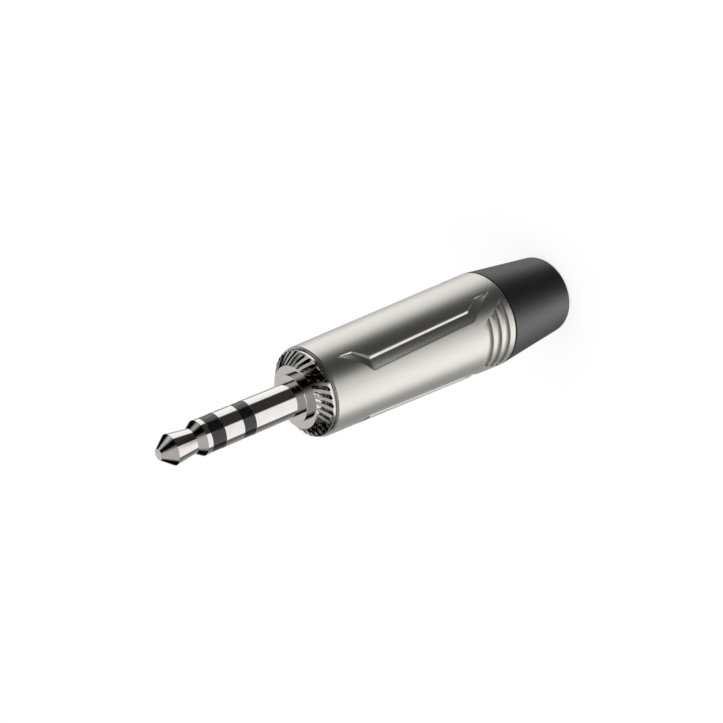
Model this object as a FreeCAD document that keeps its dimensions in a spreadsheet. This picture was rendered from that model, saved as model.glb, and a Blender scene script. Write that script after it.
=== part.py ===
import FreeCAD, Part
import math
import os
import Sketcher
from FreeCAD import Placement, Rotation, Vector

# Straight three-conductor plug, 3.5 mm pin, built of its separate real pieces.
# It stands on the rear face of its boot: +Z runs along the pin, toward the tip, and the
# origin is the centre of the boot's rear face. +Y is the middle of one of the two raised
# panels of the shell, +X the middle of one of its two grip sides. Millimetres throughout.

doc = FreeCAD.newDocument("plug")
sheet = doc.addObject("Spreadsheet::Sheet", "Dims")
rows = [0]


class Size:
    """A length that carries its number and the expression that gives it."""

    def __init__(self, value, text):
        self.value = float(value)
        self.text = text

    def __add__(self, other):
        other = size(other)
        return Size(self.value + other.value, "(" + self.text + " + " + other.text + ")")

    def __sub__(self, other):
        other = size(other)
        return Size(self.value - other.value, "(" + self.text + " - " + other.text + ")")

    def __mul__(self, other):
        other = size(other)
        return Size(self.value * other.value, "(" + self.text + " * " + other.text + ")")

    def __truediv__(self, other):
        other = size(other)
        return Size(self.value / other.value, "(" + self.text + " / " + other.text + ")")

    def __neg__(self):
        return Size(-self.value, "(0 - " + self.text + ")")


def size(number):
    """A plain number as a Size; a Size stays as it is."""
    if isinstance(number, Size):
        return number
    return Size(number, repr(float(number)))


def dim(name, value, note):
    """Put one named dimension in the sheet and return it as a Size."""
    rows[0] += 1
    cell = str(rows[0])
    sheet.set("A" + cell, name)
    sheet.set("B" + cell, repr(float(value)))
    sheet.set("C" + cell, note)
    sheet.setAlias("B" + cell, name)
    return Size(value, "Dims." + name)


# Lengths along the axis, from the boot's rear face up to the tip.
bootLength = dim("bootLength", 10.26, "boot, rear face to front edge")
seamGap = dim("seamGap", 0.11, "open seam between the boot's edge and the shell")
shellLength = dim("shellLength", 24.53, "shell, rear edge to front edge")
noseRise = dim("noseRise", 1.48, "nose face above the shell's front edge")
bossHeight = dim("bossHeight", 0.60, "sleeve flange above the nose face")
sleeveBand = dim("sleeveBand", 5.45, "bare length of the sleeve contact")
ringGapBand = dim("ringGapBand", 1.32, "black band between sleeve and ring")
ringBand = dim("ringBand", 2.15, "ring contact")
tipGapBand = dim("tipGapBand", 1.46, "black band between ring and tip")
tipCollar = dim("tipCollar", 0.56, "cylindrical rear collar of the tip")
collarCone = dim("collarCone", 0.78, "cone from the collar down to the waist")
tipBack = dim("tipBack", 2.24, "slow cone from the waist to the widest edge")
tipNose = dim("tipNose", 1.26, "front cone of the tip")

# Radii of the pin.
pinRadius = dim("pinRadius", 1.75, "half of the 3.5 mm pin")
bandDrop = dim("bandDrop", 0.03, "black bands lie this far below the metal")
tipEdgeRadius = dim("tipEdgeRadius", 1.53, "widest edge of the tip's head")
waistRadius = dim("waistRadius", 1.23, "waist behind the tip's head")
tipFlatRadius = dim("tipFlatRadius", 0.55, "flat end of the tip")
rodRadius = dim("rodRadius", 0.50, "centre rod of the tip contact")
tipTubeWall = dim("tipTubeWall", 0.30, "insulating tube round the rod")
ringTubeWall = dim("ringTubeWall", 0.30, "metal tube of the ring contact")
ringGapWall = dim("ringGapWall", 0.25, "insulating tube round the ring's tube")
spigotRadius = dim("spigotRadius", 2.10, "rear spigot of the sleeve contact")
bossRadius = dim("bossRadius", 2.50, "flange of the sleeve contact")

# Nose body.
discRadius = dim("discRadius", 3.27, "flat face of the nose")
coneRise = dim("coneRise", 1.00, "height of the fluted cone")
coneRadius = dim("coneRadius", 4.38, "foot of the fluted cone")
rimRadius = dim("rimRadius", 4.46, "rim of the nose flange")
rimDepth = dim("rimDepth", 1.00, "flange below the shell's front edge")
noseThreadRadius = dim("noseThreadRadius", 4.00, "outside of the nose thread")
noseThreadLength = dim("noseThreadLength", 3.90, "length of the nose thread")
fluteCount = dim("fluteCount", 32, "flutes round the nose cone")
fluteWidth = dim("fluteWidth", 0.42, "width of a flute")
fluteDepth = dim("fluteDepth", 0.42, "depth of a flute at its outer end, along the radius")
fluteStart = dim("fluteStart", 0.05, "depth of a flute at the nose face, along the radius")
fluteLean = dim("fluteLean", 0.66, "sideways lean of a flute over its height")
fluteEnd = dim("fluteEnd", 0.12, "cone left uncut between flute and rim")

# Contact stack behind the nose.
tagSheet = dim("tagSheet", 0.40, "sheet of the three solder tags")
sleeveRivet = dim("sleeveRivet", 0.30, "rolled end of the sleeve contact")
ringRivet = dim("ringRivet", 0.20, "rolled end of the ring contact")
rodRivet = dim("rodRivet", 0.40, "riveted end of the centre rod")
rivetLip = dim("rivetLip", 0.30, "how far a rolled end stands out")
rodLip = dim("rodLip", 0.35, "how far the rod's rivet stands out")
washerSheet = dim("washerSheet", 0.80, "thickness of the insulating washers")
groundRing = dim("groundRing", 2.85, "outside of the ground tag's ring")
ringWasherRadius = dim("ringWasherRadius", 2.70, "outside of the first washer")
ringTagRadius = dim("ringTagRadius", 2.10, "outside of the ring tag's ring")
tipWasherRadius = dim("tipWasherRadius", 1.95, "outside of the second washer")
tipTagRadius = dim("tipTagRadius", 1.55, "outside of the tip tag's ring")
groundArmOut = dim("groundArmOut", 3.10, "outer face of the ground tag's arm")
groundArmWidth = dim("groundArmWidth", 2.60, "width of the ground tag's arm")
groundEndGap = dim("groundEndGap", 1.30, "end of the ground tag above the chuck")
clampLength = dim("clampLength", 3.00, "length of the cable clamp on the ground tag")
clampWing = dim("clampWing", 2.00, "height of the clamp's two wings")
ringArmOut = dim("ringArmOut", 2.80, "outer face of the ring tag's arm")
ringArmRise = dim("ringArmRise", 2.80, "end of the ring tag above the end of the ground tag")
tipArmOut = dim("tipArmOut", 2.40, "outer face of the tip tag's arm")
tipArmRise = dim("tipArmRise", 2.20, "end of the tip tag above the end of the ground tag")
armWidth = dim("armWidth", 1.60, "width of the ring and tip arms")
solderHole = dim("solderHole", 0.45, "radius of the solder holes")
solderHoleUp = dim("solderHoleUp", 1.10, "solder hole above the arm's end")

# Shell.
shellFrontRadius = dim("shellFrontRadius", 4.70, "outside at the front edge")
shellRearRadius = dim("shellRearRadius", 5.39, "outside at the rear edge, flush with the boot")
shellRearWall = dim("shellRearWall", 0.86, "wall of the shell over the boot's thread")
shellRound = dim("shellRound", 0.18, "rounding of the shell's front edge")
rimClearance = dim("rimClearance", 0.04, "nose rim in the shell's counterbore")
threadClearance = dim("threadClearance", 0.03, "radial clearance in both threads")
shellThreadSpare = dim("shellThreadSpare", 0.40, "shell thread past the nose thread")
shellBore = dim("shellBore", 4.10, "bore of the shell between the threads")
rearThreadLength = dim("rearThreadLength", 5.63, "threaded length in the shell's rear")
panelEnd = dim("panelEnd", 2.42, "half width of the panel's narrow ends")
panelHalf = dim("panelHalf", 3.40, "half width of the raised panel")
channelWidth = dim("channelWidth", 0.85, "width of the channel beside the panel")
channelDepth = dim("channelDepth", 0.18, "depth of the channel beside the panel")
channelRear = dim("channelRear", 1.59, "channel's rear end ahead of the shell's rear edge")
rearTail = dim("rearTail", 2.12, "narrow rear end of the channel")
rearSlope = dim("rearSlope", 1.80, "rear diagonal of the channel")
frontSlope = dim("frontSlope", 1.51, "front diagonal of the channel")
frontTail = dim("frontTail", 1.79, "narrow front end of the channel")
channelStraight = dim("channelStraight", 13.81, "straight part of the channel")
ribPitch = dim("ribPitch", 1.36, "spacing of the grip grooves")
ribFirst = dim("ribFirst", 0.62, "rear groove ahead of the shell's rear edge")
ribWidth = dim("ribWidth", 0.60, "width of a grip groove")
ribDepth = dim("ribDepth", 0.20, "depth of a grip groove")
ribAngle = dim("ribAngle", 48.4, "half angle of the rear groove, degrees")
ribStep = dim("ribStep", 7.9, "each next groove is shorter by this half angle, degrees")

# Liner, chuck and boot.
linerRadius = dim("linerRadius", 3.95, "outside of the liner")
linerWall = dim("linerWall", 0.35, "wall of the liner")
chuckWall = dim("chuckWall", 0.98, "wall of the chuck's barrel round the cable bore")
chuckTipDrop = dim("chuckTipDrop", 0.38, "finger ends narrower than the barrel, on radius")
flangeDrop = dim("flangeDrop", 0.50, "chuck's flange narrower than the boot's neck, on radius")
chuckFlangeHeight = dim("chuckFlangeHeight", 1.60, "height of the chuck's flange")
chuckClearance = dim("chuckClearance", 0.07, "chuck inside the boot")
chuckTaper = dim("chuckTaper", 5.60, "tapered length of the fingers")
chuckSlot = dim("chuckSlot", 0.60, "width of the chuck's slots")
slotLength = dim("slotLength", 8.60, "length of the chuck's slots")
chuckEndGap = dim("chuckEndGap", 0.30, "finger ends above the boot's inner ledge")
bootTaper = dim("bootTaper", 0.89, "boot's rear narrower than its front, on radius")
bootRound = dim("bootRound", 0.70, "rounding of the boot's rear edge")
seamDepth = dim("seamDepth", 0.31, "depth of the open seam")
neckWall = dim("neckWall", 0.95, "wall of the boot's threaded neck")
neckLength = dim("neckLength", 5.43, "threaded neck of the boot")
inletStep = dim("inletStep", 0.50, "cable inlet wider than the chuck's bore, on radius")
cableWall = dim("cableWall", 2.10, "length of the cable inlet")
over = dim("over", 1.00, "how far cutting tools run past the piece")

# Levels that several pieces share.
zShellRear = bootLength + seamGap
zShellFront = zShellRear + shellLength
zFace = zShellFront + noseRise
zBoss = zFace + bossHeight
zSleeve = zBoss + sleeveBand
zRingRear = zSleeve + ringGapBand
zRing = zRingRear + ringBand
zTipRear = zRing + tipGapBand
zCollar = zTipRear + tipCollar
zWaist = zCollar + collarCone
zEdge = zWaist + tipBack
zTip = zEdge + tipNose
zLedge = zShellFront - rimDepth
zNoseRear = zLedge - noseThreadLength
zGround = zNoseRear - tagSheet
zRoll = zGround - sleeveRivet
zRingTagTop = zRoll - washerSheet
zRingTag = zRingTagTop - tagSheet
zRingRoll = zRingTag - ringRivet
zTipTagTop = zRingRoll - washerSheet
zTipTag = zTipTagTop - tagSheet
zRodEnd = zTipTag - rodRivet
zNeck = zShellRear + neckLength
zChuckTop = zNeck + chuckFlangeHeight
zChuckEnd = cableWall + chuckEndGap
zTaper = zChuckEnd + chuckTaper
zRearThread = zShellRear + rearThreadLength

rTipTube = rodRadius + tipTubeWall
rRingTube = rTipTube + ringTubeWall
rRingGap = rRingTube + ringGapWall
rBand = pinRadius - bandDrop
rNoseBore = noseThreadRadius + threadClearance
rRearBore = shellRearRadius - shellRearWall
rNeck = rRearBore - threadClearance
rBootBore = rNeck - neckWall
rChuck = rBootBore - chuckClearance
rChuckTip = rChuck - chuckTipDrop
rChuckBore = rChuck - chuckWall
rFlange = rNeck - flangeDrop
rInlet = rChuckBore + inletStep
rBootRear = shellRearRadius - bootTaper
zero = Size(0, "0")


def place(obj, x=0, y=0, z=0, axis=Vector(0, 0, 1), angle=0):
    """Placement from plain numbers; positions that follow a dimension are bound after it."""
    obj.Placement = Placement(Vector(x, y, z), Rotation(axis, angle))


def bind_base(obj, x=None, y=None, z=None):
    """Bind the position of an object to sizes."""
    for key, value in (("x", x), ("y", y), ("z", z)):
        if value is not None:
            value = size(value)
            setattr(obj.Placement.Base, key, value.value)
            obj.setExpression(".Placement.Base." + key, value.text)


def outline(name, points, arcs=None):
    """Closed sketch in the plane of radius and height. arcs maps the number of the point
    that an arc starts from to its radius and the guessed centre."""
    arcs = arcs or {}
    sketch = doc.addObject("Sketcher::SketchObject", name)
    sketch.Placement = Placement(Vector(0, 0, 0), Rotation(Vector(1, 0, 0), 90))
    points = [(size(p[0]), size(p[1])) for p in points]
    count = len(points)
    for i in range(count):
        a = points[i]
        b = points[(i + 1) % count]
        start = Vector(a[0].value, a[1].value, 0)
        end = Vector(b[0].value, b[1].value, 0)
        if i in arcs:
            radius, cx, cy = arcs[i]
            centre = Vector(cx.value, cy.value, 0)
            first = math.atan2(start.y - cy.value, start.x - cx.value)
            last = math.atan2(end.y - cy.value, end.x - cx.value)
            circle = Part.Circle(centre, Vector(0, 0, 1), radius.value)
            sketch.addGeometry(Part.ArcOfCircle(circle, last, first), False)
        else:
            sketch.addGeometry(Part.LineSegment(start, end), False)
    for i in range(count):
        # An arc runs the other way round: it ends where its outline segment starts.
        here = 2 if i in arcs else 1
        before = (i - 1) % count
        there = 1 if before in arcs else 2
        sketch.addConstraint(Sketcher.Constraint("Coincident", before, there, i, here))
    for i in range(count):
        here = 2 if i in arcs else 1
        for kind, part, axis in (("DistanceX", 0, -2), ("DistanceY", 1, -1)):
            value = points[i][part]
            if value.text == "0":
                sketch.addConstraint(Sketcher.Constraint("PointOnObject", i, here, axis))
                continue
            k = sketch.addConstraint(Sketcher.Constraint(kind, -1, 1, i, here, value.value))
            sketch.setExpression("Constraints[" + str(k) + "]", value.text)
    for i in arcs:
        radius = arcs[i][0]
        k = sketch.addConstraint(Sketcher.Constraint("Radius", i, radius.value))
        sketch.setExpression("Constraints[" + str(k) + "]", radius.text)
    return sketch


def turned(name, points, arcs=None):
    """Solid of revolution about Z."""
    sketch = outline(name + "_outline", points, arcs)
    solid = doc.addObject("Part::Revolution", name)
    solid.Source = sketch
    solid.Axis = Vector(0, 0, 1)
    solid.Base = Vector(0, 0, 0)
    solid.Angle = 360
    solid.Solid = True
    return solid


def box(name, x0, x1, y0, y1, z0, z1):
    """Box between three pairs of sizes."""
    x0, x1, y0, y1, z0, z1 = [size(v) for v in (x0, x1, y0, y1, z0, z1)]
    solid = doc.addObject("Part::Box", name)
    for prop, low, high in (("Length", x0, x1), ("Width", y0, y1), ("Height", z0, z1)):
        span = high - low
        setattr(solid, prop, span.value)
        solid.setExpression(prop, span.text)
    bind_base(solid, x0, y0, z0)
    return solid


def drill(name, radius, length, x, y, z, axis, angle):
    """Cylinder of a radius and length that starts at a point and is turned about an axis."""
    solid = doc.addObject("Part::Cylinder", name)
    place(solid, 0, 0, 0, axis, angle)
    for prop, value in (("Radius", radius), ("Height", length)):
        value = size(value)
        setattr(solid, prop, value.value)
        solid.setExpression(prop, value.text)
    bind_base(solid, x, y, z)
    return solid


def fuse(name, shapes):
    """Union of the shapes, without seams between them."""
    solid = doc.addObject("Part::MultiFuse", name)
    solid.Shapes = shapes
    solid.Refine = True
    return solid


def cut(name, base, tool):
    """Base less tool."""
    solid = doc.addObject("Part::Cut", name)
    solid.Base = base
    solid.Tool = tool
    return solid


nodes = []


def node(obj, name):
    """Name the finished piece."""
    obj.Label = name
    nodes.append(obj)
    return obj


# Tip contact: turned head with its long centre rod, riveted over the tip tag.
node(turned("TipContact", [
    (zero, zTip), (tipFlatRadius, zTip), (tipEdgeRadius, zEdge), (waistRadius, zWaist),
    (pinRadius, zCollar), (pinRadius, zTipRear), (rodRadius, zTipRear), (rodRadius, zTipTag),
    (rodRadius + rodLip, zTipTag), (rodRadius + rodLip, zRodEnd), (zero, zRodEnd)]),
    "tip_contact")

# Tip insulator: black band with the tube that lines the ring contact.
node(turned("TipInsulator", [
    (rodRadius, zTipRear), (rBand, zTipRear), (rBand, zRing), (rTipTube, zRing),
    (rTipTube, zTipTagTop), (rodRadius, zTipTagTop)]), "tip_insulator")

# Ring contact: ring with a tube, rolled over the ring tag.
node(turned("RingContact", [
    (rTipTube, zRing), (pinRadius, zRing), (pinRadius, zRingRear), (rRingTube, zRingRear),
    (rRingTube, zRingTag), (rRingTube + rivetLip, zRingTag), (rRingTube + rivetLip, zRingRoll),
    (rTipTube, zRingRoll)]), "ring_contact")

# Ring insulator: black band with the tube that lines the sleeve contact.
node(turned("RingInsulator", [
    (rRingTube, zRingRear), (rBand, zRingRear), (rBand, zSleeve), (rRingGap, zSleeve),
    (rRingGap, zRingTagTop), (rRingTube, zRingTagTop)]), "ring_insulator")

# Sleeve contact: tube with a flange on the nose face, rolled over the ground tag.
node(turned("SleeveContact", [
    (rRingGap, zSleeve), (pinRadius, zSleeve), (pinRadius, zBoss), (bossRadius, zBoss),
    (bossRadius, zFace), (spigotRadius, zFace), (spigotRadius, zGround),
    (spigotRadius + rivetLip, zGround), (spigotRadius + rivetLip, zRoll), (rRingGap, zRoll)]),
    "sleeve_contact")

# Nose body: flat face, fluted cone, rim, and the thread that screws into the shell.
nose_blank = turned("NoseBlank", [
    (spigotRadius, zFace), (discRadius, zFace), (coneRadius, zFace - coneRise),
    (rimRadius, zShellFront), (rimRadius, zLedge), (noseThreadRadius, zLedge),
    (noseThreadRadius, zNoseRear), (spigotRadius, zNoseRear)])

# One flute is a bar that leans sideways and follows the cone; its copies stand round the axis.
zFluteEnd = zFace - coneRise + fluteEnd
fluteHeight = coneRise - fluteEnd
rFluteEnd = coneRadius - (coneRadius - discRadius) * fluteEnd / coneRise - fluteDepth
rFluteStart = discRadius - fluteStart
reach = size(1.2)
flute_plan = doc.addObject("Sketcher::SketchObject", "FlutePlan")
bind_base(flute_plan, None, None, zFluteEnd)
half = size(0.5)
fluteSide = fluteWidth * half
corners = [(rFluteEnd, -fluteSide), (rFluteEnd + over, -fluteSide), (rFluteEnd + over, fluteSide),
           (rFluteEnd, fluteSide)]
for i in range(4):
    a = corners[i]
    b = corners[(i + 1) % 4]
    flute_plan.addGeometry(Part.LineSegment(Vector(a[0].value, a[1].value, 0),
                                            Vector(b[0].value, b[1].value, 0)), False)
for i in range(4):
    flute_plan.addConstraint(Sketcher.Constraint("Coincident", i, 2, (i + 1) % 4, 1))
for i in range(4):
    for kind, part, axis in (("DistanceX", 0, -2), ("DistanceY", 1, -1)):
        value = corners[i][part]
        if value.text == "0":
            flute_plan.addConstraint(Sketcher.Constraint("PointOnObject", i, 1, axis))
            continue
        k = flute_plan.addConstraint(Sketcher.Constraint(kind, -1, 1, i, 1, value.value))
        flute_plan.setExpression("Constraints[" + str(k) + "]", value.text)
flute = doc.addObject("Part::Extrusion", "Flute")
flute.Base = flute_plan
flute.DirMode = "Custom"
flute.Dir = Vector(0, 0, 1)
flute.Solid = True
for key, value in (("x", (rFluteStart - rFluteEnd) * reach), ("y", fluteLean * reach),
                   ("z", fluteHeight * reach)):
    setattr(flute.Dir, key, value.value)
    flute.setExpression("Dir." + key, value.text)
flutes = []
for k in range(int(round(fluteCount.value))):
    copy = doc.addObject("App::Link", "Flute%02d" % k)
    copy.LinkedObject = flute
    copy.Placement = Placement(Vector(0, 0, 0), Rotation(Vector(0, 0, 1), k * 360.0 / fluteCount.value))
    flutes.append(copy)
flute_ring = doc.addObject("Part::Compound", "FluteRing")
flute_ring.Links = flutes
node(cut("NoseBody", nose_blank, flute_ring), "nose_body")


def washer(name, inner, outer, low, high):
    """Flat ring."""
    return turned(name, [(inner, high), (outer, high), (outer, low), (inner, low)])


# Ground tag: ring on the sleeve's spigot, arm along the cable, clamp with two wings.
zArmEnd = zChuckTop + groundEndGap
ground_ring = washer("GroundRing", spigotRadius, groundRing, zGround, zNoseRear)
armIn = groundArmOut - tagSheet
ground_foot = box("GroundFoot", -groundArmWidth * half, groundArmWidth * half, -groundArmOut,
                  -(spigotRadius + tagSheet), zGround, zNoseRear)
ground_arm = box("GroundArm", -groundArmWidth * half, groundArmWidth * half, -groundArmOut, -armIn,
                 zArmEnd, zNoseRear)
wingOut = groundArmWidth * half + tagSheet
wing_plate = box("ClampPlate", -wingOut, wingOut, -groundArmOut, -armIn, zArmEnd, zArmEnd + clampLength)
wing_left = box("ClampLeft", -wingOut, -groundArmWidth * half, -groundArmOut, -armIn + clampWing,
                zArmEnd, zArmEnd + clampLength)
wing_right = box("ClampRight", groundArmWidth * half, wingOut, -groundArmOut, -armIn + clampWing,
                 zArmEnd, zArmEnd + clampLength)
ground_plain = fuse("GroundPlain", [ground_ring, ground_foot, ground_arm, wing_plate, wing_left,
                                    wing_right])
ground_hole = drill("GroundHole", solderHole, over * 2, zero, -armIn + over * half,
                    zArmEnd + clampLength + solderHoleUp, Vector(1, 0, 0), 90)
node(cut("GroundTag", ground_plain, ground_hole), "ground_tag")

# Washer that keeps the ring tag off the sleeve.
node(washer("RingWasher", rRingGap, ringWasherRadius, zRingTagTop, zRoll), "ring_washer")

# Ring tag: ring, foot and arm to the +X side, with a solder hole.
ring_ring = washer("RingTagRing", rRingTube, ringTagRadius, zRingTag, zRingTagTop)
ring_foot = box("RingTagFoot", rRingTube + rivetLip, ringArmOut, -armWidth * half, armWidth * half,
                zRingTag, zRingTagTop)
zRingArmEnd = zArmEnd + ringArmRise
ring_arm = box("RingTagArm", ringArmOut - tagSheet, ringArmOut, -armWidth * half, armWidth * half,
               zRingArmEnd, zRingTagTop)
ring_plain = fuse("RingTagPlain", [ring_ring, ring_foot, ring_arm])
ring_hole = drill("RingTagHole", solderHole, over * 2, ringArmOut - over, zero,
                  zRingArmEnd + solderHoleUp, Vector(0, 1, 0), 90)
node(cut("RingTag", ring_plain, ring_hole), "ring_tag")

# Washer that keeps the tip tag off the ring tag.
node(washer("TipWasher", rTipTube, tipWasherRadius, zTipTagTop, zRingRoll), "tip_washer")

# Tip tag: the same on the -X side, held by the rivet of the centre rod.
tip_ring = washer("TipTagRing", rodRadius, tipTagRadius, zTipTag, zTipTagTop)
tip_foot = box("TipTagFoot", -tipArmOut, -(rodRadius + rodLip), -armWidth * half, armWidth * half,
               zTipTag, zTipTagTop)
zTipArmEnd = zArmEnd + tipArmRise
tip_arm = box("TipTagArm", -tipArmOut, -(tipArmOut - tagSheet), -armWidth * half, armWidth * half,
              zTipArmEnd, zTipTagTop)
tip_plain = fuse("TipTagPlain", [tip_ring, tip_foot, tip_arm])
tip_hole = drill("TipTagHole", solderHole, over * 2, -(tipArmOut + over * half), zero,
                 zTipArmEnd + solderHoleUp, Vector(0, 1, 0), 90)
node(cut("TipTag", tip_plain, tip_hole), "tip_tag")

# Liner: insulating tube round the solder tags, between the nose and the chuck.
node(washer("Liner", linerRadius - linerWall, linerRadius, zChuckTop, zNoseRear), "liner")

# Shell: long taper with a thread at each end.
rCounter = rimRadius + rimClearance
shell_blank = turned("ShellBlank", [
    (rCounter, zShellFront), (shellFrontRadius - shellRound, zShellFront),
    (shellFrontRadius, zShellFront - shellRound), (shellRearRadius, zShellRear),
    (rRearBore, zShellRear), (rRearBore, zRearThread), (shellBore, zRearThread),
    (shellBore, zNoseRear - shellThreadSpare), (rNoseBore, zNoseRear - shellThreadSpare),
    (rNoseBore, zLedge), (rCounter, zLedge)],
    {1: (shellRound, shellFrontRadius - shellRound, zShellFront - shellRound)})


def cone(name, low, high, drop, sweep=None):
    """Part of the shell's own taper between two levels, drop below its surface."""
    taper = (shellRearRadius - shellFrontRadius) / (shellLength - shellRound)
    solid = doc.addObject("Part::Cone", name)
    bottom = shellRearRadius - taper * (low - zShellRear) - drop
    top = shellRearRadius - taper * (high - zShellRear) - drop
    for prop, value in (("Radius1", bottom), ("Radius2", top), ("Height", high - low)):
        setattr(solid, prop, value.value)
        solid.setExpression(prop, value.text)
    bind_base(solid, None, None, low)
    if sweep is not None:
        solid.Angle = sweep.value
        solid.setExpression("Angle", sweep.text)
    return solid


# The channel beside a panel, seen along Y: narrow tail, diagonal, long straight, diagonal, tail.
zTail = zShellRear + channelRear
zTailIn = zTail + rearTail
zStraight = zTailIn + rearSlope
zStraightEnd = zStraight + channelStraight
zFrontIn = zStraightEnd + frontSlope
zFrontEnd = zFrontIn + frontTail
channel_plan = outline("ChannelPlan", [
    (panelEnd, zFrontEnd), (panelEnd, zFrontIn), (panelHalf, zStraightEnd), (panelHalf, zStraight),
    (panelEnd, zTailIn), (panelEnd, zTail), (panelHalf + channelWidth, zStraight),
    (panelHalf + channelWidth, zStraightEnd)])
channel_bar = doc.addObject("Part::Extrusion", "ChannelBar")
channel_bar.Base = channel_plan
channel_bar.DirMode = "Custom"
channel_bar.Dir = Vector(0, 1, 0)
channel_bar.Solid = True
barLength = shellRearRadius + over
channel_bar.LengthFwd = barLength.value
channel_bar.setExpression("LengthFwd", barLength.text)
channel_floor = cone("ChannelFloor", zShellRear, zShellFront, channelDepth)
channel_one = cut("ChannelOne", channel_bar, channel_floor)


def mirrored(name, source, normal):
    """Mirror image in a plane through the axis."""
    copy = doc.addObject("Part::Mirroring", name)
    copy.Source = source
    copy.Normal = normal
    copy.Base = Vector(0, 0, 0)
    return copy


channel_two = mirrored("ChannelTwo", channel_one, Vector(1, 0, 0))
channel_three = mirrored("ChannelThree", channel_one, Vector(0, 1, 0))
channel_four = mirrored("ChannelFour", channel_two, Vector(0, 1, 0))
tools = [channel_one, channel_two, channel_three, channel_four]

# Three grip grooves on each side, each shorter than the one behind it.
for k in range(3):
    low = zShellRear + ribFirst + ribPitch * k
    high = low + ribWidth
    half_angle = ribAngle - ribStep * k
    floor = cone("GripFloor%d" % k, low - over, high + over, ribDepth)
    for side in range(2):
        sector = cone("GripSector%d%d" % (k, side), low, high, -over, half_angle * 2)
        turn = side * 180.0 - half_angle.value
        place(sector, 0, 0, 0, Vector(0, 0, 1), turn)
        bind_base(sector, None, None, low)
        tools.append(cut("GripGroove%d%d" % (k, side), sector, floor))
shell_tools = doc.addObject("Part::Compound", "ShellTools")
shell_tools.Links = tools
node(cut("Shell", shell_blank, shell_tools), "shell")

# Chuck: slotted collet that grips the cable, with a flange on the boot's neck.
chuck_blank = turned("ChuckBlank", [
    (rChuckBore, zChuckTop), (rFlange, zChuckTop), (rFlange, zNeck), (rChuck, zNeck),
    (rChuck, zTaper), (rChuckTip, zChuckEnd), (rChuckBore, zChuckEnd)])
slots = []
for k in range(3):
    slot = box("ChuckSlot%d" % k, -(rFlange + over), rFlange + over, -chuckSlot * half,
               chuckSlot * half, zChuckEnd - over, zChuckEnd + slotLength)
    turned_slot = doc.addObject("App::Link", "ChuckSlotTurned%d" % k)
    turned_slot.LinkedObject = slot
    turned_slot.LinkTransform = True
    turned_slot.Placement = Placement(Vector(0, 0, 0), Rotation(Vector(0, 0, 1), 60.0 * k))
    slots.append(turned_slot)
chuck_slots = doc.addObject("Part::Compound", "ChuckSlots")
chuck_slots.Links = slots
node(cut("Chuck", chuck_blank, chuck_slots), "chuck")

# Boot: tapered grip with a threaded neck, an inner cone for the chuck, and the cable inlet.
rBootCone = rChuckTip + chuckClearance
rSeam = shellRearRadius - seamDepth
node(turned("Boot", [
    (rInlet, zero), (rBootRear - bootRound, zero), (rBootRear, bootRound),
    (shellRearRadius, bootLength), (rSeam, bootLength), (rSeam, zShellRear), (rNeck, zShellRear),
    (rNeck, zNeck), (rBootBore, zNeck), (rBootBore, zTaper), (rBootCone, zChuckEnd),
    (rBootCone, cableWall), (rInlet, cableWall)],
    {1: (bootRound, rBootRear - bootRound, bootRound)}), "boot")

doc.recompute()

# Every object is sound before anything is written.
for obj in doc.Objects:
    bad = [word for word in ("Invalid", "Error") if word in obj.State]
    if bad:
        raise RuntimeError(obj.Name + " is " + ", ".join(bad))
    shape = getattr(obj, "Shape", None)
    if shape is not None and (shape.isNull() or not shape.isValid()):
        raise RuntimeError(obj.Name + " has a bad shape")

os.makedirs("parts", exist_ok=True)
for obj in nodes:
    if len(obj.Shape.Solids) != 1:
        raise RuntimeError(obj.Label + " has %d solids" % len(obj.Shape.Solids))
    obj.Shape.exportStep("parts/" + obj.Label + ".step")
    box_now = obj.Shape.BoundBox
    print("%-16s volume %8.3f  z %7.3f to %7.3f  x %6.2f  y %6.2f" % (
        obj.Label, obj.Shape.Volume, box_now.ZMin, box_now.ZMax, box_now.XLength, box_now.YLength))
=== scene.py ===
"""Looks of the stereo jack plug: fine surfaces, finishes, studio and camera.

The plug stands on the rear face of its boot with the pin upwards. Lengths are in millimetres
until a mesh is made. Radius and height are measured from the axis and from the floor.
"""

import math

import bmesh
import bpy
import numpy as np
from mathutils import Matrix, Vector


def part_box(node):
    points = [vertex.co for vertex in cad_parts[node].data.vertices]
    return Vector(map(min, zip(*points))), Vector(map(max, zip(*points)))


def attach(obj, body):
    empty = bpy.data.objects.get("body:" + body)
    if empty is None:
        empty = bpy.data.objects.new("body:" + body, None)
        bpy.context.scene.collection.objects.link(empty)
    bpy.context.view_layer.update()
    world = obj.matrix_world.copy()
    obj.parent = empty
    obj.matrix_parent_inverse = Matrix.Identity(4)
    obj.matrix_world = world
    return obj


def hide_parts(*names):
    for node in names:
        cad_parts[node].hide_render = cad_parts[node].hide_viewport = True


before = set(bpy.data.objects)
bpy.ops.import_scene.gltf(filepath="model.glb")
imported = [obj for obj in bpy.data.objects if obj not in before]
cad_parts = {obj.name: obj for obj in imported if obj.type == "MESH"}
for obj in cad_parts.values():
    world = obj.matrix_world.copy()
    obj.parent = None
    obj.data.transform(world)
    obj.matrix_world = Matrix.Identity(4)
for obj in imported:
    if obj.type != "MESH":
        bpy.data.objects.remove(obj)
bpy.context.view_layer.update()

MM = 0.001
TURN = 2 * np.pi


def levels(node):
    """Lowest height, highest height and greatest radius of a CAD node."""
    low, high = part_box(node)
    return low[2] / MM, high[2] / MM, max(high[0], high[1]) / MM


# ---- sizes ----

boot_low, neck_top, boot_radius = levels("boot")
shell_low, shell_top, shell_radius = levels("shell")
nose_low, face_level, rim_radius = levels("nose_body")
sleeve_low, sleeve_top, flange_radius = levels("sleeve_contact")
ring_low, ring_top, pin_radius = levels("ring_contact")
ring_gap_low, ring_gap_top, band_radius = levels("ring_insulator")
tip_gap_low, tip_gap_top, _ = levels("tip_insulator")
tip_low, tip_top, _ = levels("tip_contact")

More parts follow.
